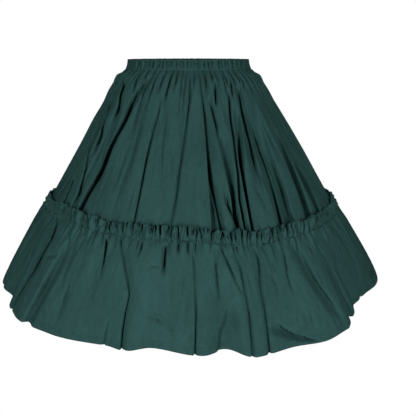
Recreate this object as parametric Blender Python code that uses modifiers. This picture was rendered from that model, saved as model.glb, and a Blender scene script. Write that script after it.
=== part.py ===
"""Circle skirt: gathered waistband, flared upper tier, frill over the join, and flounce.

The skirt is a hollow cone of cloth, open at the waist and at the hem, worn out by an
upright body shape.  Its front faces -Y, its right side (seen from the front) is +X, +Z is
up, and the origin is the centre of the waist opening at the middle of the waistband.
Azimuths are degrees round +Z from the front, growing towards +X; heights are metres.
"""

import math
from collections import namedtuple

import bmesh
import bpy
from mathutils import Vector

COLLECTION_NAME = "circle_skirt"

# ---- sizes ------------------------------------------------------------------------------

BAND_TOP = 0.015
BAND_FOOT = -0.013
JOIN_HEIGHT = -0.299
HEM_HEIGHT = -0.458
WAIST_DEPTH_RATIO = 0.77
BAND_WALL = 0.0024
TIER_WALL = 0.0016
FRILL_WALL = 0.0012
SEAM_GAP = 0.0003
CONE_SLOPE = 0.58
WAIST_LEAN = 0.002
LEAN_HEIGHT = -0.200

BAND_GATHERS = 48
BAND_GATHER_DEPTH = 0.0012
BAND_EDGE_GATHER = 0.35
BAND_STITCH_PINCH = 0.0008
BAND_STITCH_SHARE = 0.6
BAND_STITCH_SPREAD = 0.2
FRILL_WAVES = 100
FRILL_WAVE_DEPTH = 0.0030
FRILL_FOOT = -0.004
FRILL_TOP = 0.026
FRILL_STITCH = 0.25
FRILL_STITCH_WAVE = 0.3
FRILL_SWAY = 0.25
FRILL_SWAYS = 17
FRILL_SWAY_TURN = 40.0
FRILL_LIFT = 0.0015
FRILL_LIFTS = 29
FRILL_STAND = 0.0050
FRILL_CLEARANCE = 0.0042
FOLD_FADE = 0.22
FLUTE_OUT = 0.76
FLUTE_SAG = 0.15
FLUTE_GROWTH = 1.2
OVAL_GROWTH = 1.5
UPPER_ROW_GROWTH = 1.15
FLOUNCE_ROW_GROWTH = 1.25
CLOTH_ROUGHNESS = 0.62

BAND_COLUMNS = 192
BAND_ROWS = 3
UPPER_COLUMNS = 72
UPPER_ROWS = 9
FRILL_COLUMNS = 200
FRILL_ROWS = 2
FLOUNCE_COLUMNS = 72
FLOUNCE_ROWS = 6

# ---- tables -----------------------------------------------------------------------------

Ring = namedtuple("Ring", "height half_width")
Station = namedtuple("Station", "azimuth amount")
Fold = namedtuple("Fold", "top_azimuth foot_azimuth top_height foot_height depth left right")

# Half width of the skirt at each height, from the waist to the hem.
RINGS = (
    Ring(0.015, 0.1320),
    Ring(0.005, 0.1335),
    Ring(-0.004, 0.1365),
    Ring(-0.013, 0.1465),
    Ring(-0.020, 0.1555),
    Ring(-0.029, 0.1625),
    Ring(-0.050, 0.1770),
    Ring(-0.076, 0.1915),
    Ring(-0.128, 0.2240),
    Ring(-0.180, 0.2555),
    Ring(-0.231, 0.2850),
    Ring(-0.270, 0.3080),
    Ring(-0.299, 0.3270),
    Ring(-0.305, 0.3355),
    Ring(-0.315, 0.3455),
    Ring(-0.332, 0.3585),
    Ring(-0.382, 0.3900),
    Ring(-0.432, 0.4210),
    Ring(-0.458, 0.4340),
)

# How far down the slope the join of the tiers is dragged at each azimuth.
JOIN_DROP = (
    Station(-135.0, 0.004),
    Station(-104.0, 0.012),
    Station(-80.0, -0.001),
    Station(-52.0, -0.010),
    Station(-30.0, -0.005),
    Station(0.0, -0.002),
    Station(14.0, 0.007),
    Station(23.0, 0.011),
    Station(44.0, 0.009),
    Station(78.0, 0.010),
    Station(104.0, 0.016),
    Station(135.0, 0.004),
    Station(180.0, -0.003),
)

# How far the hem stands outside its ring at each azimuth: the crests and hollows of the
# flutes.
HEM_FLUTES = (
    Station(-83.0, -0.009),
    Station(-71.0, -0.002),
    Station(-61.5, -0.018),
    Station(-55.0, 0.006),
    Station(-48.0, 0.014),
    Station(-36.0, 0.007),
    Station(-20.0, -0.004),
    Station(-15.5, 0.004),
    Station(-9.5, -0.014),
    Station(2.5, 0.009),
    Station(8.0, -0.006),
    Station(13.5, 0.029),
    Station(23.0, 0.020),
    Station(32.0, 0.032),
    Station(39.5, 0.026),
    Station(45.0, 0.004),
    Station(51.0, -0.022),
    Station(58.0, -0.020),
    Station(71.0, 0.001),
    Station(82.0, -0.003),
    Station(93.0, 0.002),
    Station(105.0, -0.018),
    Station(118.0, 0.020),
    Station(130.0, -0.010),
    Station(143.0, 0.024),
    Station(152.0, 0.004),
    Station(160.0, -0.017),
    Station(172.0, 0.012),
    Station(184.0, -0.015),
    Station(197.0, 0.022),
    Station(207.0, 0.006),
    Station(216.0, -0.019),
    Station(229.0, 0.015),
    Station(241.0, -0.013),
    Station(253.0, 0.018),
    Station(265.0, -0.008),
)

# Troughs of the upper tier: where each starts and ends, how deep it is, and how many
# degrees its left and right banks reach.
UPPER_FOLDS = (
    Fold(-80.0, -77.0, -0.030, -0.250, 0.007, 6.0, 6.0),
    Fold(-66.0, -62.0, -0.016, -0.200, 0.008, 5.0, 6.0),
    Fold(-57.0, -50.0, -0.016, -0.285, 0.013, 6.0, 5.5),
    Fold(-34.0, -46.0, -0.018, -0.280, 0.010, 7.5, 8.0),
    Fold(-20.0, -20.0, -0.016, -0.288, 0.008, 5.5, 6.5),
    Fold(-9.0, -11.0, -0.014, -0.150, 0.006, 5.0, 5.0),
    Fold(-1.0, -6.0, -0.020, -0.288, 0.008, 5.5, 6.0),
    Fold(10.0, 7.0, -0.014, -0.288, 0.010, 5.0, 4.0),
    Fold(19.0, 13.5, -0.020, -0.288, 0.006, 3.5, 3.5),
    Fold(27.0, 21.0, -0.014, -0.290, 0.014, 5.0, 4.0),
    Fold(34.0, 32.0, -0.020, -0.286, 0.011, 5.0, 5.5),
    Fold(50.0, 45.0, -0.030, -0.270, 0.006, 6.5, 6.5),
    Fold(62.0, 60.0, -0.016, -0.230, 0.009, 6.0, 6.0),
    Fold(77.0, 75.0, -0.020, -0.260, 0.007, 6.0, 6.0),
    Fold(97.0, 99.0, -0.016, -0.280, 0.010, 6.0, 6.5),
    Fold(111.0, 114.0, -0.020, -0.240, 0.008, 6.5, 6.0),
    Fold(125.0, 129.0, -0.014, -0.285, 0.012, 6.0, 5.0),
    Fold(139.0, 141.0, -0.018, -0.180, 0.007, 5.0, 5.0),
    Fold(153.0, 151.0, -0.016, -0.288, 0.011, 5.5, 6.5),
    Fold(167.0, 168.0, -0.020, -0.270, 0.008, 6.0, 6.0),
    Fold(180.0, 178.0, -0.014, -0.286, 0.010, 5.0, 6.0),
    Fold(194.0, 197.0, -0.024, -0.230, 0.007, 6.0, 5.0),
    Fold(207.0, 209.0, -0.016, -0.288, 0.013, 6.0, 6.0),
    Fold(221.0, 218.0, -0.018, -0.250, 0.008, 6.0, 6.5),
    Fold(236.0, 238.0, -0.014, -0.284, 0.010, 6.0, 5.0),
    Fold(255.0, 251.0, -0.020, -0.270, 0.008, 6.5, 6.0),
)

# Troughs of the flounce, in the same columns.
FLOUNCE_FOLDS = (
    Fold(-52.0, -56.0, -0.312, -0.452, 0.008, 4.0, 4.0),
    Fold(-47.0, -42.0, -0.330, -0.452, 0.004, 5.0, 5.0),
    Fold(-28.0, -25.0, -0.306, -0.370, 0.006, 4.0, 4.5),
    Fold(-21.0, -17.0, -0.306, -0.456, 0.008, 3.5, 3.5),
    Fold(-9.0, -8.0, -0.306, -0.345, 0.006, 3.5, 3.5),
    Fold(1.0, 1.0, -0.310, -0.458, 0.005, 3.0, 3.0),
    Fold(8.0, 13.0, -0.306, -0.380, 0.007, 3.5, 3.5),
    Fold(21.0, 18.0, -0.312, -0.440, 0.007, 3.5, 4.0),
    Fold(30.0, 31.0, -0.312, -0.446, 0.005, 4.0, 4.0),
    Fold(35.0, 47.0, -0.320, -0.445, 0.008, 4.5, 4.5),
    Fold(64.0, 62.0, -0.310, -0.400, 0.006, 5.0, 5.0),
    Fold(103.0, 105.0, -0.310, -0.440, 0.007, 5.0, 5.0),
    Fold(127.0, 130.0, -0.306, -0.452, 0.007, 5.0, 4.0),
    Fold(150.0, 156.0, -0.312, -0.400, 0.006, 4.5, 4.5),
    Fold(170.0, 167.0, -0.306, -0.380, 0.006, 4.0, 4.0),
    Fold(181.0, 184.0, -0.310, -0.450, 0.008, 4.0, 4.5),
    Fold(206.0, 208.0, -0.306, -0.360, 0.006, 4.0, 4.0),
    Fold(218.0, 216.0, -0.312, -0.452, 0.008, 4.5, 4.0),
    Fold(240.0, 241.0, -0.308, -0.440, 0.006, 5.0, 5.0),
    Fold(260.0, 264.0, -0.312, -0.430, 0.006, 5.0, 5.0),
)

GREEN = (0.032, 0.072, 0.066, 1.0)
GREEN_BAND = (0.028, 0.065, 0.060, 1.0)
GREEN_FRILL = (0.037, 0.080, 0.073, 1.0)


# ---- interpolation ----------------------------------------------------------------------

def ease(value):
    """Smooth step from 0 to 1, clamped outside."""
    value = min(max(value, 0.0), 1.0)
    return value * value * (3.0 - 2.0 * value)


def ring_half_width(height):
    """Half width at a height, by straight runs from one ring to the next."""
    if height >= RINGS[0].height:
        return RINGS[0].half_width
    for upper, lower in zip(RINGS, RINGS[1:]):
        if height >= lower.height:
            share = (upper.height - height) / (upper.height - lower.height)
            return upper.half_width + share * (lower.half_width - upper.half_width)
    return RINGS[-1].half_width


def around(stations, azimuth):
    """Amount at an azimuth, eased from one station to the next and closed after 360."""
    azimuth = (azimuth - stations[0].azimuth) % 360.0 + stations[0].azimuth
    first = stations[0]
    closing = Station(first.azimuth + 360.0, first.amount)
    for here, there in zip(stations, stations[1:] + (closing,)):
        if azimuth <= there.azimuth:
            share = ease((azimuth - here.azimuth) / (there.azimuth - here.azimuth))
            return here.amount + share * (there.amount - here.amount)
    return first.amount


# ---- the base cone ----------------------------------------------------------------------

def depth_ratio(height):
    """Front-to-back size over width: oval at the waist, round at the join and below."""
    share = min(max((BAND_FOOT - height) / (BAND_FOOT - JOIN_HEIGHT), 0.0), 1.0)
    return 1.0 - (1.0 - WAIST_DEPTH_RATIO) * (1.0 - share) ** OVAL_GROWTH


def drag(azimuth, height):
    """How far the cloth at a height is dragged down the slope with the join."""
    if height > JOIN_HEIGHT:
        share = (BAND_FOOT - height) / (BAND_FOOT - JOIN_HEIGHT)
    else:
        share = (height - HEM_HEIGHT) / (JOIN_HEIGHT - HEM_HEIGHT)
    return around(JOIN_DROP, azimuth) * ease(share)


def cone_point(azimuth, height, outward, flute=0.0):
    """A point of the cone, carried out by a flute and moved outward along its normal."""
    turn = math.radians(azimuth)
    ratio = depth_ratio(height)
    slide = drag(azimuth, height)
    radius = ring_half_width(height) + CONE_SLOPE * slide + FLUTE_OUT * flute
    level = height - slide - FLUTE_SAG * flute
    place = Vector((radius * math.sin(turn), -radius * ratio * math.cos(turn), level))
    place.x += WAIST_LEAN * ease((BAND_FOOT - height) / (BAND_FOOT - LEAN_HEIGHT))
    normal = Vector((ratio * math.sin(turn), -math.cos(turn), 0.0)).normalized()
    normal.z = CONE_SLOPE if height < BAND_FOOT else 0.0
    return place + normal.normalized() * outward


def bank(offset, reach):
    """Share of a trough's depth at an offset from its line."""
    share = min(abs(offset) / reach, 1.0)
    return 0.5 + 0.5 * math.cos(math.pi * share)


def fold_depth(folds, azimuth, height):
    """Depth of all the troughs together at a place on the cone."""
    total = 0.0
    for fold in folds:
        if not fold.foot_height <= height <= fold.top_height:
            continue
        share = (fold.top_height - height) / (fold.top_height - fold.foot_height)
        line = fold.top_azimuth + share * (fold.foot_azimuth - fold.top_azimuth)
        offset = (azimuth - line + 180.0) % 360.0 - 180.0
        reach = fold.left if offset < 0.0 else fold.right
        if abs(offset) < reach:
            run = ease(share / FOLD_FADE) * ease((1.0 - share) / FOLD_FADE)
            total += fold.depth * run * bank(offset, reach)
    return total


# ---- the pieces -------------------------------------------------------------------------

def band_point(across, down):
    """Waistband: gathered loop, pinched along the row of stitching at its middle."""
    azimuth = -180.0 + 360.0 * across
    height = BAND_TOP + (BAND_FOOT + 0.5 * SEAM_GAP - BAND_TOP) * down
    gather = math.cos(math.radians(BAND_GATHERS * azimuth)) * BAND_GATHER_DEPTH
    gather *= BAND_EDGE_GATHER + (1.0 - BAND_EDGE_GATHER) * math.sin(math.pi * down)
    from_stitch = (down - BAND_STITCH_SHARE) / BAND_STITCH_SPREAD
    pinch = BAND_STITCH_PINCH * math.exp(-from_stitch ** 2)
    return cone_point(azimuth, height, gather - pinch)


def panel_azimuth(across, back, height):
    """Azimuth across a front or back panel, stopping short of the side seams."""
    gap = math.degrees(0.5 * SEAM_GAP / ring_half_width(height))
    start = 90.0 if back else -90.0
    return start + gap + (180.0 - 2.0 * gap) * across


def upper_point(across, down, back):
    """Upper tier: the troughs die away before the join, behind the frill."""
    top = BAND_FOOT - 0.5 * SEAM_GAP
    foot = JOIN_HEIGHT + 0.5 * SEAM_GAP
    height = top + (foot - top) * down ** UPPER_ROW_GROWTH
    azimuth = panel_azimuth(across, back, height)
    return cone_point(azimuth, height, -fold_depth(UPPER_FOLDS, azimuth, height))


def flounce_point(across, down, back):
    """Flounce: the flutes grow from nothing at the join to their full size at the hem."""
    top = JOIN_HEIGHT - 0.5 * SEAM_GAP
    height = top + (HEM_HEIGHT - top) * down ** FLOUNCE_ROW_GROWTH
    azimuth = panel_azimuth(across, back, height)
    share = (top - height) / (top - HEM_HEIGHT)
    flute = around(HEM_FLUTES, azimuth) * share ** FLUTE_GROWTH
    return cone_point(azimuth, height, -fold_depth(FLOUNCE_FOLDS, azimuth, height), flute)


def frill_point(across, down, back):
    """Frill: the upper tier's own cone moved out, waving most at its free upper edge."""
    up = 1.0 - down
    stitch = FRILL_FOOT + FRILL_STITCH * (FRILL_TOP - FRILL_FOOT)
    rise = FRILL_FOOT + (FRILL_TOP - FRILL_FOOT) * up
    height = JOIN_HEIGHT + rise
    azimuth = panel_azimuth(across, back, height)
    wave = math.cos(math.radians(FRILL_WAVES * azimuth))
    sway = 1.0 + FRILL_SWAY * math.sin(math.radians(FRILL_SWAYS * azimuth + FRILL_SWAY_TURN))
    swell = abs(rise - stitch) / (FRILL_TOP - stitch)
    end = ease(min(across, 1.0 - across) * 0.5 * FRILL_COLUMNS)
    growth = FRILL_STITCH_WAVE + (1.0 - FRILL_STITCH_WAVE) * swell
    amount = FRILL_WAVE_DEPTH * growth * sway * end
    stand = FRILL_CLEARANCE + FRILL_STAND * ease(swell) * up
    lift = FRILL_LIFT * up * math.sin(math.radians(FRILL_LIFTS * azimuth))
    point = cone_point(azimuth, height, stand + amount * wave)
    return point + Vector((0.0, 0.0, lift))


# ---- building ---------------------------------------------------------------------------

def cloth_material(name, colour):
    """Matt woven cloth."""
    material = bpy.data.materials.new(name)
    material.use_nodes = True
    shader = material.node_tree.nodes["Principled BSDF"]
    shader.inputs["Base Color"].default_value = colour
    shader.inputs["Roughness"].default_value = CLOTH_ROUGHNESS
    return material


def cloth_sheet(collection, name, columns, rows, place, wall, colour, closed=False):
    """A grid of cloth placed by a function of across and down, given its wall."""
    mesh = bpy.data.meshes.new(name)
    shape = bmesh.new()
    bmesh.ops.create_grid(shape, x_segments=columns, y_segments=rows, size=0.5)
    for vertex in shape.verts:
        vertex.co = place(vertex.co.x + 0.5, 0.5 - vertex.co.y)
    if closed:
        bmesh.ops.remove_doubles(shape, verts=shape.verts, dist=0.00001)
    bmesh.ops.recalc_face_normals(shape, faces=shape.faces)
    shape.to_mesh(mesh)
    shape.free()
    mesh.shade_smooth()
    piece = bpy.data.objects.new(name, mesh)
    collection.objects.link(piece)
    mesh.materials.append(cloth_material(name + "_cloth", colour))
    solid = piece.modifiers.new("wall", "SOLIDIFY")
    solid.thickness = wall
    solid.offset = 0.0
    solid.use_even_offset = False
    return piece


def side(place, back):
    """The placing function of one of a pair of panels."""
    return lambda across, down: place(across, down, back)


def build():
    """Clear the scene and make every piece."""
    for thing in list(bpy.data.objects):
        bpy.data.objects.remove(thing, do_unlink=True)
    collection = bpy.data.collections.new(COLLECTION_NAME)
    bpy.context.scene.collection.children.link(collection)
    cloth_sheet(collection, "waistband", BAND_COLUMNS, BAND_ROWS, band_point, BAND_WALL,
                GREEN_BAND, closed=True)
    for back, word in ((False, "front"), (True, "back")):
        cloth_sheet(collection, "upper_" + word, UPPER_COLUMNS, UPPER_ROWS,
                    side(upper_point, back), TIER_WALL, GREEN)
        cloth_sheet(collection, "frill_" + word, FRILL_COLUMNS, FRILL_ROWS,
                    side(frill_point, back), FRILL_WALL, GREEN_FRILL)
        cloth_sheet(collection, "flounce_" + word, FLOUNCE_COLUMNS, FLOUNCE_ROWS,
                    side(flounce_point, back), TIER_WALL, GREEN)


build()
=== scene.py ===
"""Circle skirt, dressed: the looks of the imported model.

Every CAD solid is replaced by a thin sheet of cloth on its own form, with the creases,
gathers and frill waves that the photograph shows.  Lengths in the tables are millimetres
and angles are degrees of azimuth round +Z from the front (-Y), growing towards +X; the
rest of the script is in metres.
"""

import math
from collections import namedtuple

import bpy
import numpy as np
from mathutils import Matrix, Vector

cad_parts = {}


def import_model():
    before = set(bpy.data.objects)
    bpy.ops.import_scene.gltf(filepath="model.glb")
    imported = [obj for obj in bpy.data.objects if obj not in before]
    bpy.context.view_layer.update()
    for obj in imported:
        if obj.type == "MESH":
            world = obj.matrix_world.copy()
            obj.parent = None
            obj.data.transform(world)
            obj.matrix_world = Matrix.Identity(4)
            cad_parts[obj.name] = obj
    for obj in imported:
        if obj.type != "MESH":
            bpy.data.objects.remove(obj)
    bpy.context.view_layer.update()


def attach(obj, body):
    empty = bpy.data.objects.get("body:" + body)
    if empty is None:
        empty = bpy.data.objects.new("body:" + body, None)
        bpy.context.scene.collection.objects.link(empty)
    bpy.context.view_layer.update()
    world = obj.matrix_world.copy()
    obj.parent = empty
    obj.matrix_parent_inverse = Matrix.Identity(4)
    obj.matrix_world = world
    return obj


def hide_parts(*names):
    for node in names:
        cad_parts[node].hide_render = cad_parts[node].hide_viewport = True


MM = 0.001
ROOT = "root"

# ---- the cone, as part.py has it --------------------------------------------------------

BAND_TOP = 0.015
BAND_FOOT = -0.013
JOIN_HEIGHT = -0.299
HEM_HEIGHT = -0.458
WAIST_DEPTH_RATIO = 0.77
OVAL_GROWTH = 1.5
CONE_SLOPE = 0.58
WAIST_LEAN = 0.002
LEAN_HEIGHT = -0.200
FLUTE_OUT = 0.76
FLUTE_SAG = 0.15
FLUTE_GROWTH = 1.2

# Height and half width of the skirt, mm.
RINGS = (
    (15, 132.0), (5, 133.5), (-4, 136.5), (-13, 146.5), (-20, 155.5), (-29, 162.5),
    (-50, 177.0), (-76, 191.5), (-128, 224.0), (-180, 255.5), (-231, 285.0),
    (-270, 308.0), (-299, 327.0), (-305, 335.5), (-315, 345.5), (-332, 358.5),
    (-382, 390.0), (-432, 421.0), (-458, 434.0),
)
# The cloth is softer than the solid: over this height at each ring's corner, m.
RING_SOFTENING = 0.003
# How far above and below the band's foot its outward direction turns to the slope's, m.
SHOULDER = 0.004

# Azimuth, and how far down the slope the join is dragged there, mm.
JOIN_DROP = (
    (-135, 4), (-104, 12), (-80, -1), (-52, -10), (-30, -5), (0, -2), (14, 7), (23, 11),
    (44, 9), (78, 10), (104, 16), (135, 4), (180, -3),
)

# Azimuth, and how far the hem stands outside its ring there, mm.
HEM_FLUTES = (
    (-83, -9), (-71, -2), (-61.5, -18), (-55, 6), (-48, 14), (-36, 7), (-20, -4),
    (-15.5, 4), (-9.5, -14), (2.5, 9), (8, -6), (13.5, 29), (23, 20), (32, 32),
    (39.5, 26), (45, 4), (51, -22), (58, -20), (71, 1), (82, -3), (93, 2), (105, -18),
    (118, 20), (130, -10), (143, 24), (152, 4), (160, -17), (172, 12), (184, -15),
    (197, 22), (207, 6), (216, -19), (229, 15), (241, -13), (253, 18), (265, -8),
)

# ---- creases ----------------------------------------------------------------------------

# path: (azimuth, height mm, depth mm) from the crease's upper to its lower end.
# left, right: how far the banks of its soft trough reach, mm.
# cut: how many times deeper than the trough is the narrow slot along its bed.
# lean: how far one bank flops over the bed, mm: the left one towards +azimuth when it is
# positive, the right one the other way when it is negative.
Crease = namedtuple("Crease", "path left right cut lean", defaults=(0.0,))

UPPER_CREASES = (
    # front, left of the middle
    Crease(((-58, -24, 0), (-57, -40, 14), (-56, -56, 20), (-53, -80, 17), (-51, -108, 0)),
           5, 20, 0, 13),
    Crease(((-64, -64, 0), (-61.5, -98, 15), (-57, -138, 20), (-54, -178, 0)),
           5, 18, 0, 13),
    Crease(((-64, -136, 0), (-58, -180, 8), (-55, -204, 12), (-52, -249, 13),
            (-51, -294, 0)), 5, 14, 0, 9),
    Crease(((-60.5, -222, 0), (-60, -246, 12), (-59, -276, 12), (-59, -294, 0)),
           5, 13, 0, 9),
    Crease(((-31, -12, 0), (-35, -24, 9), (-39.5, -45, 17), (-42.8, -69, 23),
            (-44.2, -115, 25), (-45.6, -156, 24), (-46.2, -195, 22), (-47, -230, 21),
            (-47.5, -270, 20), (-48, -297, 0)), 6, 26, 0, 13),
    Crease(((-17, -34, 0), (-18, -57, 1.5), (-20, -102, 2.5), (-20, -149, 3),
            (-20, -246, 3), (-20, -275, 2.5), (-20, -296, 0)), 18, 6, 2.2, 3),
    Crease(((-6, -85, 0), (-8, -147, 4), (-11, -193, 3), (-13, -250, 0)), 20, 20, 0),
    Crease(((1.5, -13, 0), (0.8, -51, 3), (-1, -79, 3), (-3, -124, 2.5), (-5, -181, 2.5),
            (-5.5, -225, 2.5), (-6.5, -261, 2), (-7, -292, 0)), 12, 7, 2.4),
    Crease(((-2, -14, 0), (-3, -40, 2), (-5, -84, 0)), 7, 7, 2.4),
    # front, right of the middle
    Crease(((10, -32, 0), (9, -54, 8), (8, -99, 14), (7, -170, 20), (7, -238, 17),
            (7, -275, 14), (7, -297, 0)), 5, 26, 0.1, 6),
    Crease(((20, -24, 0), (18.5, -42, 5), (17.5, -60, 4), (17, -74, 0)), 6, 6, 2.2),
    Crease(((13.5, -50, 0), (14.5, -72, 4), (15, -100, 4), (14.5, -132, 0)), 8, 8, 2.2),
    Crease(((8.5, -158, 0), (9, -190, 4), (10, -231, 5), (10.5, -275, 5), (11, -296, 0)),
           6, 8, 2.2),
    Crease(((17, -110, 0), (16, -150, 12), (16, -204, 25), (15.7, -250, 33),
            (15.5, -278, 33), (15.5, -297, 0)), 10, 15, 0, 7),
    Crease(((13.5, -230, 0), (14, -255, 8), (14.5, -280, 10), (14.5, -297, 0)), 5, 10, 0, 8),
    Crease(((13, -208, 0), (12.8, -235, 4), (13.5, -276, 5), (13.5, -297, 0)), 6, 6, 2.4),
    Crease(((17, -220, 0), (17.2, -250, 4), (17.5, -278, 4), (17.5, -297, 0)), 6, 6, 2),
    Crease(((27.5, -40, 0), (27, -60, 4), (25, -93, 5), (23.6, -122, 5), (21.4, -160, 6),
            (20, -198, 7), (19.2, -228, 8), (18.9, -275, 8), (18.9, -296, 0)), 7, 7, 2.4),
    Crease(((33.5, -18, 0), (32, -34, 4), (30.5, -46, 3), (29.5, -60, 0)), 6, 6, 2.4),
    Crease(((31.5, -64, 0), (30, -90, 9), (27, -140, 22), (25.2, -172, 30),
            (24.3, -205, 38), (23.8, -240, 43), (23.2, -278, 45), (23, -297, 0)),
           17, 9, 0, -16),
    Crease(((37.6, -36, 0), (37, -50, 7), (35.8, -83, 14), (34.6, -112, 17), (33, -146, 17),
            (31.4, -180, 13), (29.5, -232, 0)), 18, 6, 0, -9),
    Crease(((39, -30, 0), (38.8, -46, 8), (38.8, -108, 10), (38, -148, 12), (37, -182, 13),
            (36, -237, 15), (35, -276, 17), (34.6, -296, 0)), 24, 6, 0, -10),
    Crease(((46, -64, 0), (44.5, -100, 6), (42, -151, 14), (42, -221, 19), (40, -268, 16),
            (40, -294, 0)), 30, 7, 0, -9),
    Crease(((55, -105, 0), (55, -140, 10), (54.5, -185, 19), (53, -235, 23), (51, -270, 20),
            (51, -294, 0)), 32, 8, 0, -10),
    Crease(((61, -150, 0), (61, -200, 10), (60, -245, 16), (58, -280, 14), (58, -296, 0)),
           26, 8, 0, -9),
    # sides and back
    Crease(((-84, -12, 0), (-80, -20, -5), (-76, -30, -4), (-70, -48, 0)), 26, 26, 0),
    Crease(((84, -12, 0), (80, -20, -4), (76, -30, -3), (70, -48, 0)), 26, 26, 0),
    Crease(((-80, -24, 0), (-79, -90, 5), (-77, -180, 6), (-76, -262, 0)), 18, 18, 0.6),
    Crease(((-71, -20, 0), (-70, -60, 4), (-67, -120, 0)), 10, 10, 1.6),
    Crease(((66, -18, 0), (66, -90, 5), (64, -160, 6), (63, -248, 0)), 20, 16, 0.8),
    Crease(((79, -20, 0), (78, -120, 5), (76, -210, 6), (75, -288, 0)), 20, 18, 0.6),
    Crease(((96, -14, 0), (97, -70, 6), (98, -170, 8), (99, -278, 8), (99, -296, 0)),
           10, 20, 1.5),
    Crease(((106, -40, 0), (108, -110, 3), (109, -180, 0)), 8, 8, 2.2),
    Crease(((112, -22, 0), (113, -120, 5), (115, -210, 4), (115, -262, 0)), 18, 16, 0.5),
    Crease(((126, -13, 0), (127, -60, 8), (129, -150, 12), (130, -240, 20), (130, -280, 20),
            (130, -297, 0)), 14, 15, 0.4),
    Crease(((134, -60, 0), (135, -120, 3), (136, -220, 4), (136, -294, 0)), 7, 10, 2.2),
    Crease(((141, -18, 0), (141, -70, 4), (140, -130, 4), (140, -185, 0)), 14, 8, 1.8),
    Crease(((154, -13, 0), (153, -60, 6), (151, -160, 8), (150, -278, 9), (150, -296, 0)),
           22, 7, 1.6),
    Crease(((162, -110, 0), (162, -170, 5), (161, -240, 5), (161, -292, 0)), 18, 18, 0),
    Crease(((168, -16, 0), (168, -50, 4), (169, -90, 0)), 7, 7, 2.2),
    Crease(((180, -13, 0), (179.5, -80, 4), (178, -190, 5), (177, -275, 4), (177, -294, 0)),
           8, 16, 2),
    Crease(((190, -50, 0), (191, -120, 3), (193, -200, 3), (194, -262, 0)), 8, 8, 2),
    Crease(((199, -20, 0), (198, -80, 5), (199, -150, 5), (200, -210, 0)), 16, 14, 0.6),
    Crease(((207, -13, 0), (208, -70, 8), (209, -170, 14), (210, -250, 24), (210, -280, 24),
            (210, -297, 0)), 15, 13, 0.3),
    Crease(((216, -90, 0), (216, -150, 4), (215, -230, 5), (215, -296, 0)), 10, 7, 2),
    Crease(((224, -18, 0), (222, -70, 5), (220, -150, 5), (219, -250, 4), (219, -288, 0)),
           14, 20, 0.8),
    Crease(((237, -13, 0), (238, -80, 6), (239, -180, 8), (240, -276, 8), (240, -296, 0)),
           20, 8, 1.6),
    Crease(((247, -36, 0), (246, -90, 3), (245, -150, 0)), 7, 7, 2.2),
    Crease(((256, -16, 0), (254, -100, 6), (251, -200, 6), (250, -285, 0)), 18, 18, 0.8),
)

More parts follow.
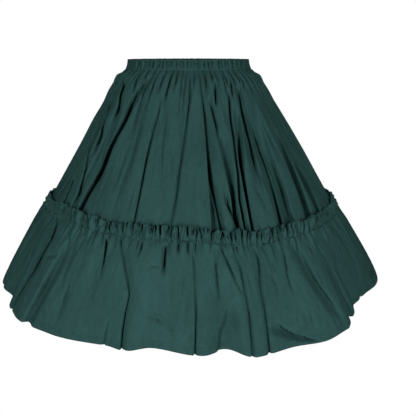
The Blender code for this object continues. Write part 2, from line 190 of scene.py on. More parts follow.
FLOUNCE_CREASES = (
    # front, left of the middle
    Crease(((-57, -299, 0), (-53.5, -312, 8), (-52, -331, 10), (-53, -359, 10),
            (-54, -390, 10), (-55, -418, 8), (-55, -465, 4)), 5, 18, 0, 7),
    Crease(((-42, -318, 0), (-43.5, -350, 14), (-45, -400, 22), (-46, -465, 14)),
           9, 34, 0, 6),
    Crease(((-36, -299, 0), (-36.5, -315, 2), (-37, -345, 0)), 8, 8, 1.5),
    Crease(((-28, -299, 0), (-27.7, -312, 7), (-26.5, -340, 5), (-26, -366, 0)),
           5, 10, 0.8, 5),
    Crease(((-23.5, -298, 0), (-22, -312, 4), (-20, -333, 5), (-18, -359, 5),
            (-16.5, -381, 6), (-17, -405, 8), (-17, -433, 10), (-16.5, -465, 9)),
           5, 22, 0.5, 6),
    Crease(((-21, -415, 0), (-21, -436, 3), (-21, -465, 3)), 9, 9, 1),
    Crease(((-8, -298, 0), (-8, -310, 5), (-8, -332, 5), (-8, -348, 0)), 6, 6, 2.4),
    Crease(((-15.5, -299, 0), (-15.5, -309, 3), (-16, -324, 0)), 6, 6, 2),
    Crease(((-14, -345, 0), (-12.5, -334, 2), (-11, -329, 0)), 6, 6, 1.5),
    Crease(((-7, -350, 0), (-6, -378, 3), (-5, -410, 0)), 14, 14, 0),
    Crease(((-12, -408, 0), (-9, -414, 4), (-6, -420, 4), (-4, -446, 0)), 9, 14, 0, 3),
    Crease(((-4, -299, 0), (-4, -306, 3), (-4, -316, 0)), 5, 5, 2),
    # front, right of the middle
    Crease(((0.5, -299, 0), (0.6, -320, 2), (1, -360, 1.5), (1, -403, 3), (0.5, -465, 4)),
           5, 12, 2, 2),
    Crease(((8, -298, 0), (7, -330, 2.5), (7, -363, 2.5), (8, -402, 0)), 8, 8, 2.2),
    Crease(((9, -298, 0), (10, -312, 3), (11.5, -340, 3), (13.2, -370, 0)), 6, 10, 2.2),
    Crease(((13, -300, 0), (14, -330, 3), (14, -374, 4), (14, -400, 4), (13.5, -430, 4),
            (13, -465, 4)), 16, 5, 2),
    Crease(((20, -299, 0), (20, -320, 3), (19, -350, 3), (18.5, -388, 3), (17.5, -435, 4),
            (17, -465, 4)), 10, 6, 2.4),
    Crease(((12, -372, 0), (9, -402, 9), (7, -431, 11), (6, -465, 7)), 9, 26, 0, 3),
    Crease(((30, -299, 0), (29, -320, 3), (27.5, -350, 3), (27.5, -384, 0)), 9, 9, 1.6),
    Crease(((35, -299, 0), (35.5, -325, 10), (36.5, -365, 16), (38, -400, 16),
            (39, -440, 0)), 30, 8, 0, -6),
    Crease(((43, -299, 0), (43, -318, 3), (44, -345, 0)), 8, 7, 1.8),
    Crease(((20, -418, 0), (22, -428, 16), (25, -440, 24), (28, -450, 16), (30, -457, 0)),
           36, 12, 0, -20),
    Crease(((46.5, -345, 0), (45, -379, 5), (44.5, -416, 7), (45, -465, 9)), 24, 11, 0, -4),
    Crease(((61, -405, 0), (58, -435, 7), (56, -465, 9)), 16, 16, 0.2),
    # sides and back
    Crease(((66, -299, 0), (64, -330, 5), (62, -380, 5), (61, -420, 0)), 16, 16, 0.8),
    Crease(((78, -299, 0), (78, -320, 4), (79, -360, 0)), 10, 10, 1.5),
    Crease(((-70, -299, 0), (-69, -340, 5), (-70, -400, 5), (-71, -465, 3)), 18, 18, 0.8),
    Crease(((-81, -299, 0), (-80, -318, 4), (-80, -350, 0)), 9, 9, 1.6),
    Crease(((97, -299, 0), (97.5, -318, 3), (98, -352, 0)), 8, 8, 2),
    Crease(((104, -299, 0), (104, -330, 5), (105, -400, 6), (105, -465, 5)), 8, 16, 1.6),
    Crease(((117, -299, 0), (116, -330, 3), (115, -380, 0)), 9, 9, 1.6),
    Crease(((127, -298, 0), (128, -330, 6), (130, -400, 7), (130, -465, 6)), 16, 8, 1.6),
    Crease(((139, -299, 0), (139, -315, 4), (139, -345, 0)), 6, 6, 2.2),
    Crease(((151, -300, 0), (154, -350, 4), (156, -405, 0)), 14, 14, 1),
    Crease(((163, -299, 0), (162, -340, 2), (161, -400, 2), (160, -465, 2)), 5, 10, 2.6),
    Crease(((171, -299, 0), (169, -340, 5), (167, -386, 0)), 9, 9, 1.6),
    Crease(((182, -299, 0), (182, -340, 5), (184, -400, 6), (184, -465, 5)), 12, 7, 1.7),
    Crease(((195, -299, 0), (195, -314, 3), (194, -340, 0)), 6, 6, 2.2),
    Crease(((206, -298, 0), (207, -325, 5), (208, -368, 0)), 8, 8, 1.8),
    Crease(((218, -299, 0), (217, -350, 6), (216, -410, 7), (216, -465, 6)), 9, 16, 1.4),
    Crease(((229, -299, 0), (229, -320, 3), (230, -356, 0)), 8, 8, 1.8),
    Crease(((240, -299, 0), (240, -340, 4), (241, -400, 5), (241, -465, 5)), 16, 9, 1.2),
    Crease(((252, -299, 0), (253, -325, 3), (253, -372, 0)), 9, 9, 1.6),
    Crease(((262, -299, 0), (263, -350, 5), (264, -430, 0)), 16, 16, 0.8),
)

# A short hollow across the cloth: its middle, its half length in degrees, how far it reaches
# above and below its line, its depth, and how the line rises per degree and curves down, mm.
Dent = namedtuple("Dent", "azimuth height length above below depth tilt arch")

FLOUNCE_DENTS = (
    Dent(-10.5, -331, 2.6, 3, 9, 5, 0.5, 1.2),
    Dent(-9.0, -412, 3.6, 8, 3, 9, -1.6, 0.0),
    Dent(-46.0, -352, 5.0, 9, 4, 6, 1.2, 0.0),
    Dent(72.0, -430, 7.0, 10, 4, 12, 1.4, -0.10),
    Dent(118.0, -428, 7.0, 11, 4, 15, 1.0, -0.08),
    Dent(152.0, -338, 3.0, 4, 9, 6, -0.6, 0.8),
    Dent(176.0, -418, 4.0, 8, 3, 9, 1.2, 0.0),
    Dent(221.0, -436, 8.0, 12, 3, 17, 1.2, -0.10),
    Dent(244.0, -356, 4.0, 8, 4, 7, -1.0, 0.0),
)

# ---- how the cloth folds ----------------------------------------------------------------

# Any crease: the reach of its slot in mm, how strongly slot and trough draw their banks
# together, and how far behind a leaning bank the cloth is drawn along with it, mm.
SLOT_REACH = 4.5
SLOT_PINCH = 0.7
TROUGH_PINCH = 0.25
LEAN_TAIL = 18.0

# Short creases that run down from a seam.  top and lengths are mm; depths, reaches and cuts
# are ranges as in Crease; drift is the most that they turn sideways, in degrees, either way
# unless it is negative.
Gathers = namedtuple("Gathers", "seed count top lengths depths reaches cuts drift")
WAIST_GATHERS = Gathers(11, 108, -5, (20, 84), (2.2, 5.0), (4, 7), (0.6, 1.8), -6.0)
CASING_GATHERS = Gathers(15, 116, 16, (16, 23), (3.2, 6.4), (2.6, 4.6), (0.6, 1.8), 1.2)
JOIN_GATHERS = Gathers(13, 90, -298, (12, 46), (0.6, 1.8), (4, 7), (0.5, 2.0), 0.8)
# A gather's place within its share of the round, its depth at the seam as a share of its
# greatest, and the share of its turn that it has made at its bend.
GATHER_PLACES = (0.1, 0.9)
GATHER_START = 0.6
GATHER_BEND = 0.3
# How far down its length a gather or a fold bends.
BEND_PLACE = 0.4

# Long shallow undulations anywhere between two heights, mm.
Folds = namedtuple("Folds", "seed count highest lowest lengths depths reaches")
UPPER_FOLDS = (
    Folds(12, 150, -16, -296, (60, 240), (1.5, 6.0), (11, 28)),
    Folds(17, 110, -40, -290, (40, 150), (1.0, 3.6), (4, 9)),
)
FLOUNCE_FOLDS = (
    Folds(14, 80, -300, -470, (40, 120), (1.5, 6.0), (11, 28)),
    Folds(18, 80, -312, -456, (30, 100), (1.0, 3.6), (4, 9)),
)
# The most that a fold turns sideways, in degrees, and the share made at its bend.
FOLD_TURN = 2.0
FOLD_BEND = 0.4

# Smooth unevenness round the skirt: how many waves are added up, and what brings their
# sum to about -1 to 1.
WAVERING_WAVES = 9
WAVERING_CREST = 1.5

# ---- the seams --------------------------------------------------------------------------

# At the sides a back panel laps under the front one: lap and fold are degrees, the rest m.
SEAM_LAP = 0.45
SEAM_FOLD = 0.22
SEAM_TUCK = 0.0009
SEAM_TUCK_REACH = 0.006
# How far from a side seam the creases have their full shift, and the frill its full
# crests, in degrees.
SEAM_REACH = 1.5
FRILL_SEAM_REACH = 1.2
# The cloth turned in behind the waistband, its height and inset, and under the upper tier.
WAIST_ALLOWANCE = 0.005
WAIST_ALLOWANCE_INSET = 0.0035
SEAM_ALLOWANCE = 0.0110

# ---- the sheets -------------------------------------------------------------------------

# Columns are those of the front panel and of the back one.
UPPER_COLUMNS = (860, 560)
UPPER_ROWS = 56
UPPER_ROW_GROWTH = 1.15
FLOUNCE_COLUMNS = (800, 600)
FLOUNCE_ROWS = 50
FLOUNCE_ROW_GROWTH = 1.25
FRILL_COLUMNS = (1400, 1100)
FRILL_ROWS = 14
BAND_COLUMNS = 900
BAND_ROWS = 22

# The least step between columns where gathers are packed tight, in degrees.
LEAST_STEP = 0.03

# Waist: how deep a crease may be there, how fast that grows down the skirt, and how far
# below the band the gathers are kept from folding over.
WAIST_DEPTH = 0.0080
WAIST_DEPTH_GROWTH = 0.40
WAIST_ZONE = 0.012

# Waistband: a casing with a row of stitching along its middle.  The walls are the solids'
# own, and each fade is how far down or up a change takes.
TIER_WALL = 0.0016
BAND_WALL = 0.0024
BAND_WALL_FADE = 0.004
BAND_STITCH = -0.0055
BAND_PINCH = 0.0011
BAND_PINCH_REACH = 0.0018
BAND_EDGE_DEPTH = 0.1
BAND_EDGE_FADE = 0.006

# Heading: the gathers along the join, shared by the frill and the top of the flounce.
# Each has its own width, then depth, sideways loop, gap, skew, reach down the flounce and
# flare, drawn from these ranges in this order.
FRILL_SEED = 21
FRILL_WAVES = 196
FRILL_WIDTHS = (0.3, 1.9)
FRILL_WIDTH_POWER = 1.2
FRILL_RANGES = {
    "depth": (0.35, 1.0),
    "loop": (0.02, 0.16),
    "gap": (0.05, 0.50),
    "skew": (0.65, 1.5),
    "reach": (0.006, 0.034),
    "flare": (0.5, 1.2),
}
# The power that rounds its crests, the greatest depth for a wave of mean width, the
# broadest width that adds to it, and how much of it is there at the foot already.
FRILL_CREST_POWER = 0.5
FRILL_DEPTH = 0.0190
FRILL_BROADEST = 1.25
HEADING_GROWTH = 0.45

# Frill: its foot and top from the join, how it stands off, and how its valleys go in and
# out, all in m; how far its top tilts sideways, in degrees, and how uneven its edge is.
FRILL_FOOT = -0.0015
FRILL_TOP = 0.0215
FRILL_CLEARANCE = 0.0008
FRILL_STAND = 0.0018
FRILL_VALLEY = 0.0016
FRILL_TILT = 0.9
FRILL_LIFT = 0.0034
FRILL_RAGGED = 0.4
# The share of the flounce's creases that it follows.
FRILL_CREASING = 0.8
# The pinch of its stitching, whose place and reach are shares of its height.
FRILL_PINCH = 0.5
FRILL_PINCH_REACH = 0.18
FRILL_STITCH = 0.15
# Crinkles in m, and the share of them at the foot.
FRILL_CRUMPLE = 0.0042
FRILL_CRUMPLE_FOOT = 0.35
# How far the top is laid close at the sides, and where that starts and how far it takes,
# as shares of the skirt's half width.
FRILL_FLATTENING = 0.70
FRILL_FLAT_FROM = 0.70
FRILL_FLAT_OVER = 0.22
# Seed, fewest and most waves round the skirt of each unevenness, and the crinkles' twist
# in degrees from foot to top.
PINCH_WAVERING = (26, 20, 120)
CRUMPLE_WAVERING = (25, 150, 520)
CRUMPLE_TWIST = 520.0
RAGGED_WAVERING = (27, 120, 420)

# Flounce: the greatest depth of a crease, and the share of it that is level at the hem.
FLOUNCE_DEPTH = 0.0190
HEM_LEVEL = 0.45

# Hem: a doubled fold with a row of stitches and a rolled edge.  HEM_ROWS are mm above the
# edge, the rest m.
HEM_ROWS = (8.8, 8.0, 7.2, 6.4, 4.2, 2.6, 1.7, 0.9, 0.0)
HEM_BAND = 0.0100
HEM_FOLD = 0.0009
HEM_FOLD_FADE = 0.0012
HEM_STITCH = 0.0072
HEM_PULL = 0.0008
HEM_PULL_REACH = 0.0007
HEM_ROLL = 0.0022
HEM_ROLL_REACH = 0.0026

CLOTH_THICKNESS = 0.0005
BAND_THICKNESS = 0.0010

# ---- the cloth's looks ------------------------------------------------------------------

GREEN = (0.0262, 0.0720, 0.0680)
# The waistband's green is darker than the rest: painted shade of its gathers.
SHADED_BAND_GREEN = (0.0228, 0.0640, 0.0602)

# A cloth: its stitch lines in m above its lower edge, its crushed relief in m, and how
# uneven its dye and its threads are.
Cloth = namedtuple("Cloth", "name colour lines crush dye slub")
CLOTHS = {
    # the band's darker green is painted shade of its gathers
    "waistband_cloth": Cloth("band_cloth", SHADED_BAND_GREEN, (0.0012, 0.0075, 0.0265),
                             0.0009, 0.45, 0.7),
    "upper_cloth": Cloth("upper_cloth", GREEN, (0.0012,), 0.0012, 0.45, 0.7),
    "frill_cloth": Cloth("frill_cloth", GREEN, (0.0042, 0.0060, 0.0225), 0.0016, 0.5, 0.8),
    "flounce_cloth": Cloth("flounce_cloth", GREEN, (0.0080,), 0.0012, 0.45, 0.7),
}
CLOTH_ROUGHNESS = 0.75
ROUGHNESS_SPREAD = 0.16
WEAVE_PITCH = 0.0007
WEAVE_RELIEF = 0.00002
STITCH_PITCH = 0.0032
STITCH_SHARE = 0.68
THREAD_WIDTH = 0.0007
THREAD_LIGHTER = 0.35
FINE_DYE_SHARE = 0.7
BROAD_CRUSH_TIMES = 3.0

# Noise: its fineness along and up the cloth, per metre, and its detail.
BROAD_DYE = ((9.0, 6.0), 3.0)
FINE_DYE = ((70.0, 14.0), 2.0)
UPRIGHT_SLUBS = ((2200.0, 60.0), 1.0)
LEVEL_SLUBS = ((50.0, 2400.0), 1.0)
FINE_CRUSH = ((150.0, 90.0), 3.0)
BROAD_CRUSH = ((45.0, 16.0), 2.0)
ROUGH_PATCHES = ((24.0, 18.0), 2.0)

# ---- the studio -------------------------------------------------------------------------

CAMERA_PLACE = (0.002, -1.276, 0.035)
CAMERA_DOWN = 15.78
CAMERA_TURN = -1.83
CAMERA_LENS = 48.46
CAMERA_SENSOR = 36.0

# Name, azimuth and elevation, distance, width and height, power in W.
SOFTBOXES = (
    ("key_left", -32.0, 8.0, 2.5, (0.35, 1.5), 38.6),
    ("key_right", 32.0, 8.0, 2.5, (0.35, 1.5), 39.2),
    ("back", 180.0, 0.0, 2.6, (1.2, 1.2), 52.0),
)
LIT_POINT = Vector((0.0, 0.0, -0.22))
WHITE = (1.0, 1.0, 1.0, 1.0)
AMBIENT = 0.01
FLOOR_HEIGHT = -1.05
FLOOR_REACH = 12.0
FLOOR_GREY = (0.06, 0.06, 0.06, 1.0)


# ---- sums over whole grids --------------------------------------------------------------

def ease(value):
    """Smooth step from 0 to 1, clamped outside."""
    value = np.clip(value, 0.0, 1.0)
    return value * value * (3.0 - 2.0 * value)


def bell(distance, reach):
    """1 on a line, falling smoothly to 0 at a distance from it."""
    return 0.5 + 0.5 * np.cos(np.pi * np.clip(np.abs(distance) / reach, 0.0, 1.0))


def near(distance, reach):
    """1 on a line, falling as a Gaussian does on both sides."""
    return np.exp(-(distance / reach) ** 2)


def held_to(most, depth):
    """Depths eased towards a greatest one."""
    return most * np.tanh(depth / most)


def half_width(height):
    """Half width at a height, with the corners between the rings softened."""
    heights, widths = np.array(RINGS).T * MM
    steps = (-RING_SOFTENING, 0.0, RING_SOFTENING)
    return sum(np.interp(-height + step, -heights, widths) for step in steps) / len(steps)


def around(stations, azimuth):
    """Amount at an azimuth in metres, eased between stations and closed after 360."""
    places, amounts = np.array(stations, dtype=float).T
    places = np.append(places, places[0] + 360.0)
    amounts = np.append(amounts, amounts[0]) * MM
    azimuth = (azimuth - places[0]) % 360.0 + places[0]
    index = np.clip(np.searchsorted(places, azimuth, side="right") - 1, 0, len(places) - 2)
    share = ease((azimuth - places[index]) / (places[index + 1] - places[index]))
    return amounts[index] + share * (amounts[index + 1] - amounts[index])


def depth_ratio(height):
    """Front-to-back size over width: oval at the waist, round at the join and below."""
    share = np.clip((BAND_FOOT - height) / (BAND_FOOT - JOIN_HEIGHT), 0.0, 1.0)
    return 1.0 - (1.0 - WAIST_DEPTH_RATIO) * (1.0 - share) ** OVAL_GROWTH


def drag(azimuth, height):
    """How far the cloth at a height is dragged down the slope with the join."""
    above = (BAND_FOOT - height) / (BAND_FOOT - JOIN_HEIGHT)
    below = (height - HEM_HEIGHT) / (JOIN_HEIGHT - HEM_HEIGHT)
    return around(JOIN_DROP, azimuth) * ease(np.where(height > JOIN_HEIGHT, above, below))


def cone_points(azimuth, height, outward, flute=0.0):
    """Points of the cone, carried out by flutes and moved outward along its normal."""
    turn = np.radians(azimuth)
    ratio = depth_ratio(height)
    slide = drag(azimuth, height)
    radius = half_width(height) + CONE_SLOPE * slide + FLUTE_OUT * flute
    lean = WAIST_LEAN * ease((BAND_FOOT - height) / (BAND_FOOT - LEAN_HEIGHT))
    place = np.stack([
        radius * np.sin(turn) + lean,
        -radius * ratio * np.cos(turn),
        height - slide - FLUTE_SAG * flute,
    ], axis=-1)
    level = np.hypot(ratio * np.sin(turn), np.cos(turn))
    rise = CONE_SLOPE * ease((BAND_FOOT + SHOULDER - height) / (2.0 * SHOULDER))
    normal = np.stack([
        ratio * np.sin(turn) / level,
        -np.cos(turn) / level,
        rise,
    ], axis=-1)
    normal /= np.linalg.norm(normal, axis=-1, keepdims=True)
    return place + normal * np.asarray(outward)[..., None]


def crease_field(creases, azimuth, height):
    """Depth in metres and sideways shift in degrees that all the creases give.

    The shift draws the banks together over the bed, which closes a crease to a crisp line,
    and flops a leaning bank over it.
    """
    depth = np.zeros_like(azimuth)
    shift = np.zeros_like(azimuth)
    radius = half_width(height)
    for crease in creases:
        places, heights, depths = np.array(crease.path, dtype=float).T
        line = np.interp(-height, -heights * MM, places)
        amount = np.interp(-height, -heights * MM, depths, left=0.0, right=0.0) * MM
        run = amount / (np.max(np.abs(depths)) * MM)
        offset = np.radians((azimuth - line + 180.0) % 360.0 - 180.0) * radius
        trough = bell(offset, np.where(offset < 0.0, crease.left, crease.right) * MM)
        slot = bell(offset, SLOT_REACH * MM)
        depth += amount * (trough + crease.cut * slot)
        slot = slot * min(crease.cut, 1.0)
        pinch = TROUGH_PINCH * trough + (SLOT_PINCH - TROUGH_PINCH) * slot
        shift -= np.degrees(run * pinch * offset / radius)
        if crease.lean:
            side = math.copysign(1.0, crease.lean)
            lip = crease.left if side > 0.0 else crease.right
            past = side * offset + lip * MM
            flop = bell(past, np.where(past < 0.0, LEAN_TAIL, lip) * MM)
            shift += np.degrees(run * flop * crease.lean * MM / radius)
    return depth, shift


def dented(dents, azimuth, height):
    """Depth in metres of the short hollows that lie across the cloth."""
    depth = np.zeros_like(azimuth)
    for dent in dents:
        along = (azimuth - dent.azimuth + 180.0) % 360.0 - 180.0
        line = dent.height + dent.tilt * along - dent.arch * along ** 2
        rise = height - line * MM
        shape = bell(rise, np.where(rise > 0.0, dent.above, dent.below) * MM)
        depth += dent.depth * MM * bell(along, dent.length) * shape
    return depth


def wavering(azimuth, seed, fewest, most, up=0.0, twist=0.0):
    """A smooth uneven number, mostly -1 to 1, round the skirt, closed after 360.

    With a twist, in degrees, each of its waves turns that much from one row to another.
    """
    random = np.random.default_rng(seed)
    result = np.zeros_like(azimuth)
    for _ in range(WAVERING_WAVES):
        waves = random.integers(fewest, most + 1)
        turn = random.uniform(0.0, 360.0) + random.uniform(-twist, twist) * up
        result += np.sin(np.radians(waves * azimuth + turn))
    return result / math.sqrt(WAVERING_WAVES) / WAVERING_CREST


def gathers(kind):
    """Short creases that run down from a seam, uneven in place, length and depth."""
    random = np.random.default_rng(kind.seed)
    spacing = 360.0 / kind.count
    rows = []
    for index in range(kind.count):
        azimuth = -180.0 + spacing * (index + random.uniform(*GATHER_PLACES))
        length = random.uniform(*kind.lengths)
        depth = random.uniform(*kind.depths)
        turn = random.uniform(-abs(kind.drift), max(kind.drift, 0.0)) * length / kind.lengths[1]
        path = (
            (azimuth, kind.top, GATHER_START * depth),
            (azimuth + GATHER_BEND * turn, kind.top - BEND_PLACE * length, depth),
            (azimuth + turn, kind.top - length, 0.0),
        )
        reach = random.uniform(*kind.reaches)
        rows.append(Crease(path, reach, reach, random.uniform(*kind.cuts)))
    return rows


def faint_folds(kind):
    """Long shallow undulations anywhere on a tier."""
    random = np.random.default_rng(kind.seed)
    rows = []
    for _ in range(kind.count):
        azimuth = random.uniform(-180.0, 180.0)
        length = random.uniform(*kind.lengths)
        top = random.uniform(kind.lowest + length, kind.highest)
        depth = random.uniform(*kind.depths)
        turn = random.uniform(-FOLD_TURN, FOLD_TURN)
        path = (
            (azimuth, top, 0.0),
            (azimuth + FOLD_BEND * turn, top - BEND_PLACE * length, depth),
            (azimuth + turn, top - length, 0.0),
        )
        left = random.uniform(*kind.reaches)
        right = random.uniform(*kind.reaches)
        rows.append(Crease(path, left, right, 0.0))
    return rows


# ---- the panels -------------------------------------------------------------------------

def panel_azimuths(columns, back):
    """Azimuths across a front panel, or a back one with its laps under the front's edges."""
    start = 90.0 - SEAM_LAP if back else -90.0
    body = np.linspace(start, start + 180.0 + (2.0 * SEAM_LAP if back else 0.0), columns + 1)
    if not back:
        return body
    folds = [90.0, 90.0 + 0.5 * SEAM_FOLD, 90.0 + SEAM_FOLD]
    return np.sort(np.concatenate([body, folds, [360.0 - fold for fold in folds]]))


def seam_tuck(azimuth, back):
    """How far a back panel dips at the side seams to pass under the front one."""
    if not back:
        return np.zeros_like(azimuth)
    inside = np.minimum(azimuth - 90.0, 270.0 - azimuth)
    return SEAM_TUCK * ease((SEAM_FOLD - inside) / SEAM_FOLD)


def side_seam(azimuth):
    """Nothing at the side seams and 1 from a little way off, to keep the panels joined."""
    return ease(np.abs((azimuth + 180.0) % 180.0 - 90.0) / SEAM_REACH)


def waist_depth(height):
    """The greatest depth of a crease: small at the waist, where gathers are packed tight."""
    return WAIST_DEPTH + WAIST_DEPTH_GROWTH * np.maximum(BAND_FOOT - height, 0.0)


def unfolded(azimuth):
    """Azimuths along each row pushed on where they would turn back."""
    least = LEAST_STEP * np.arange(azimuth.shape[1])
    return np.maximum.accumulate(azimuth - least, axis=1) + least


def band_sheet():
    """Waistband: two gathered rows of casing, pinched along the stitching between them."""
    down = np.linspace(0.0, 1.0, BAND_ROWS + 1)[:, None]
    azimuth = np.linspace(-180.0, 180.0, BAND_COLUMNS + 1)
    azimuth, down = np.broadcast_arrays(azimuth, down)
    height = BAND_TOP + (BAND_FOOT - BAND_TOP) * down
    creases = gathers(WAIST_GATHERS) + gathers(CASING_GATHERS)
    depth, shift = crease_field(creases, azimuth, height)
    pinch = BAND_PINCH * near(height - BAND_STITCH, BAND_PINCH_REACH)
    edge = ease((BAND_TOP - height) / BAND_EDGE_FADE)
    edge = BAND_EDGE_DEPTH + (1.0 - BAND_EDGE_DEPTH) * edge
    wall = TIER_WALL + (BAND_WALL - TIER_WALL) * ease((height - BAND_FOOT) / BAND_WALL_FADE)
    loose = side_seam(azimuth)
    depth = held_to(waist_depth(height), depth) * edge * loose
    azimuth = unfolded(azimuth + shift * loose)
    return cone_points(azimuth, height, 0.5 * wall - depth - pinch)


def upper_sheet(back):
    """Upper tier: long creases, short gathers below the band and faint folds.

    Its first row stands up behind the waistband, as the seam allowance does.
    """
    top = BAND_FOOT
    foot = JOIN_HEIGHT
    down = np.linspace(0.0, 1.0, UPPER_ROWS)[:, None] ** UPPER_ROW_GROWTH
    height = np.concatenate([[[top + WAIST_ALLOWANCE]], top + (foot - top) * down])
    azimuth, height = np.broadcast_arrays(panel_azimuths(UPPER_COLUMNS[back], back), height)
    creases = list(UPPER_CREASES) + gathers(WAIST_GATHERS)
    for kind in UPPER_FOLDS:
        creases += faint_folds(kind)
    depth, shift = crease_field(creases, azimuth, height)
    waist = ease((height - BAND_FOOT + WAIST_ZONE) / WAIST_ZONE)
    loose = side_seam(azimuth)
    depth = held_to(waist_depth(height), depth) * (1.0 - waist * (1.0 - loose))
    tuck = seam_tuck(azimuth, back) * ease((top - height) / SEAM_TUCK_REACH)
    outward = 0.5 * TIER_WALL - depth - tuck
    outward[0] -= WAIST_ALLOWANCE_INSET
    azimuth = azimuth + shift * loose
    azimuth += waist * (unfolded(azimuth) - azimuth)
    return cone_points(azimuth, height, outward)


def heading_waves():
    """The gathers along the join, each with its own width, depth, gap and tilt."""
    random = np.random.default_rng(FRILL_SEED)
    widths = random.uniform(*FRILL_WIDTHS, FRILL_WAVES) ** FRILL_WIDTH_POWER
    edges = np.concatenate([[0.0], np.cumsum(widths)]) / np.sum(widths) * 360.0 - 180.0
    waves = {word: random.uniform(*span, FRILL_WAVES) for word, span in FRILL_RANGES.items()}
    ends = {word: random.uniform(-1.0, 1.0, FRILL_WAVES) for word in ("valley", "tilt", "lift")}
    ends = {word: np.append(values, values[0]) for word, values in ends.items()}
    return edges, waves, ends


def heading(azimuth):
    """What the gathers along the join are at each azimuth."""
    edges, waves, ends = heading_waves()
    turned = (azimuth + 180.0) % 360.0 - 180.0
    index = np.clip(np.searchsorted(edges, turned, side="right") - 1, 0, FRILL_WAVES - 1)
    width = edges[index + 1] - edges[index]
    part = (turned - edges[index]) / width
    here = {word: values[index] for word, values in waves.items()}
    blend = ease(part)
    for word, values in ends.items():
        here[word] = values[index] * (1.0 - blend) + values[index + 1] * blend
    open_part = np.clip((part - here["gap"] * 0.5) / (1.0 - here["gap"]), 0.0, 1.0)
    here["crest"] = np.sin(np.pi * open_part ** here["skew"]) ** FRILL_CREST_POWER
    here["crest"] *= ease(np.abs(azimuth % 180.0 - 90.0) / FRILL_SEAM_REACH)
    breadth = width * FRILL_WAVES / 360.0
    slender = np.minimum(breadth, FRILL_BROADEST) * (1.0 - here["gap"])
    here["fullness"] = FRILL_DEPTH * here["depth"] * slender
    here["shift"] = -here["loop"] * width * np.sin(2.0 * np.pi * part)
    return here


def frill_sheet(back):
    """Frill: the gathers along the join, standing up above their stitching.

    At the sides, where it hangs steeply, its top lies close to the tier above.  The
    flounce's creases run on up it, mirrored about the join.
    """
    up = np.linspace(1.0, 0.0, FRILL_ROWS + 1)[:, None]
    azimuth, up = np.broadcast_arrays(panel_azimuths(FRILL_COLUMNS[back], back), up)
    gather = heading(azimuth)
    sideways = np.abs(np.sin(np.radians(azimuth)))
    flat = FRILL_FLATTENING * up * ease((sideways - FRILL_FLAT_FROM) / FRILL_FLAT_OVER)
    growth = HEADING_GROWTH + (1.0 - HEADING_GROWTH) * ease(up * gather["flare"])
    pinch = FRILL_PINCH * (1.0 + wavering(azimuth, *PINCH_WAVERING))
    growth *= 1.0 - pinch * near(up - FRILL_STITCH, FRILL_PINCH_REACH)
    puff = growth * gather["fullness"] * gather["crest"]
    slack = FRILL_VALLEY * up * gather["valley"]
    crumple = FRILL_CRUMPLE * wavering(azimuth, *CRUMPLE_WAVERING, up, CRUMPLE_TWIST)
    crumple = crumple * (FRILL_CRUMPLE_FOOT + up)
    height = JOIN_HEIGHT + FRILL_FOOT + (FRILL_TOP - FRILL_FOOT) * up
    depth, drawn = crease_field(FLOUNCE_CREASES, azimuth, 2.0 * JOIN_HEIGHT - height)
    shift = gather["shift"] * growth + FRILL_TILT * gather["tilt"] * up + drawn
    stand = FRILL_STAND * up + puff + slack - FRILL_CREASING * depth
    outward = FRILL_CLEARANCE + stand * (1.0 - flat) + crumple
    outward -= seam_tuck(azimuth, back)
    shifted = azimuth + shift * side_seam(azimuth)
    points = cone_points(shifted, height, 0.5 * TIER_WALL + outward)
    ragged = FRILL_RAGGED * wavering(azimuth, *RAGGED_WAVERING)
    points[..., 2] += FRILL_LIFT * up * (gather["lift"] + ragged)
    return points


def hem_profile(above):
    """The folded hem: a doubled band, pulled in along its stitches, with a rolled edge."""
    band = HEM_FOLD * ease((HEM_BAND - above) / HEM_FOLD_FADE)
    pull = HEM_PULL * near(above - HEM_STITCH, HEM_PULL_REACH)
    return band - pull - HEM_ROLL * ease((HEM_ROLL_REACH - above) / HEM_ROLL_REACH)


def flounce_sheet(back):
    """Flounce: flutes that grow from nothing at the join, creases and gathers.

    Its first row turns in under the upper tier, as the seam allowance does.
    """
    top = JOIN_HEIGHT
    down = np.linspace(0.0, 1.0, FLOUNCE_ROWS + 1) ** FLOUNCE_ROW_GROWTH
    body = top + (HEM_HEIGHT + HEM_BAND - top) * down
    height = np.concatenate([[top], body, HEM_HEIGHT + np.array(HEM_ROWS) * MM])[:, None]
    azimuth, height = np.broadcast_arrays(panel_azimuths(FLOUNCE_COLUMNS[back], back), height)
    share = (top - height) / (top - HEM_HEIGHT)
    creases = list(FLOUNCE_CREASES) + gathers(JOIN_GATHERS)
    for kind in FLOUNCE_FOLDS:
        creases += faint_folds(kind)
    depth, shift = crease_field(creases, azimuth, height)
    gather = heading(azimuth)
    fade = HEADING_GROWTH * (1.0 - ease((top - height) / gather["reach"]))
    puff = fade * gather["fullness"] * gather["crest"]
    shift = (shift + fade * gather["shift"]) * side_seam(azimuth)
    tuck = seam_tuck(azimuth, back)
    azimuth = azimuth + shift
    flute = around(HEM_FLUTES, azimuth) * share ** FLUTE_GROWTH
    depth = held_to(FLOUNCE_DEPTH, depth + dented(FLOUNCE_DENTS, azimuth, height))
    level = HEM_LEVEL * share
    flute -= depth * level / FLUTE_OUT
    outward = 0.5 * TIER_WALL + puff - depth * (1.0 - level)
    outward += hem_profile(height - HEM_HEIGHT)
    outward -= tuck
    outward[0] = -SEAM_ALLOWANCE
    return cone_points(azimuth, height, outward, flute)


# ---- meshes -----------------------------------------------------------------------------

def grid_faces(rows, columns):
    """The four corners of every face of a grid of points."""
    corner = np.arange(rows * columns).reshape(rows, columns)
    corners = [corner[:-1, :-1], corner[1:, :-1], corner[1:, 1:], corner[:-1, 1:]]
    return np.stack(corners, axis=-1).reshape(-1, 4)


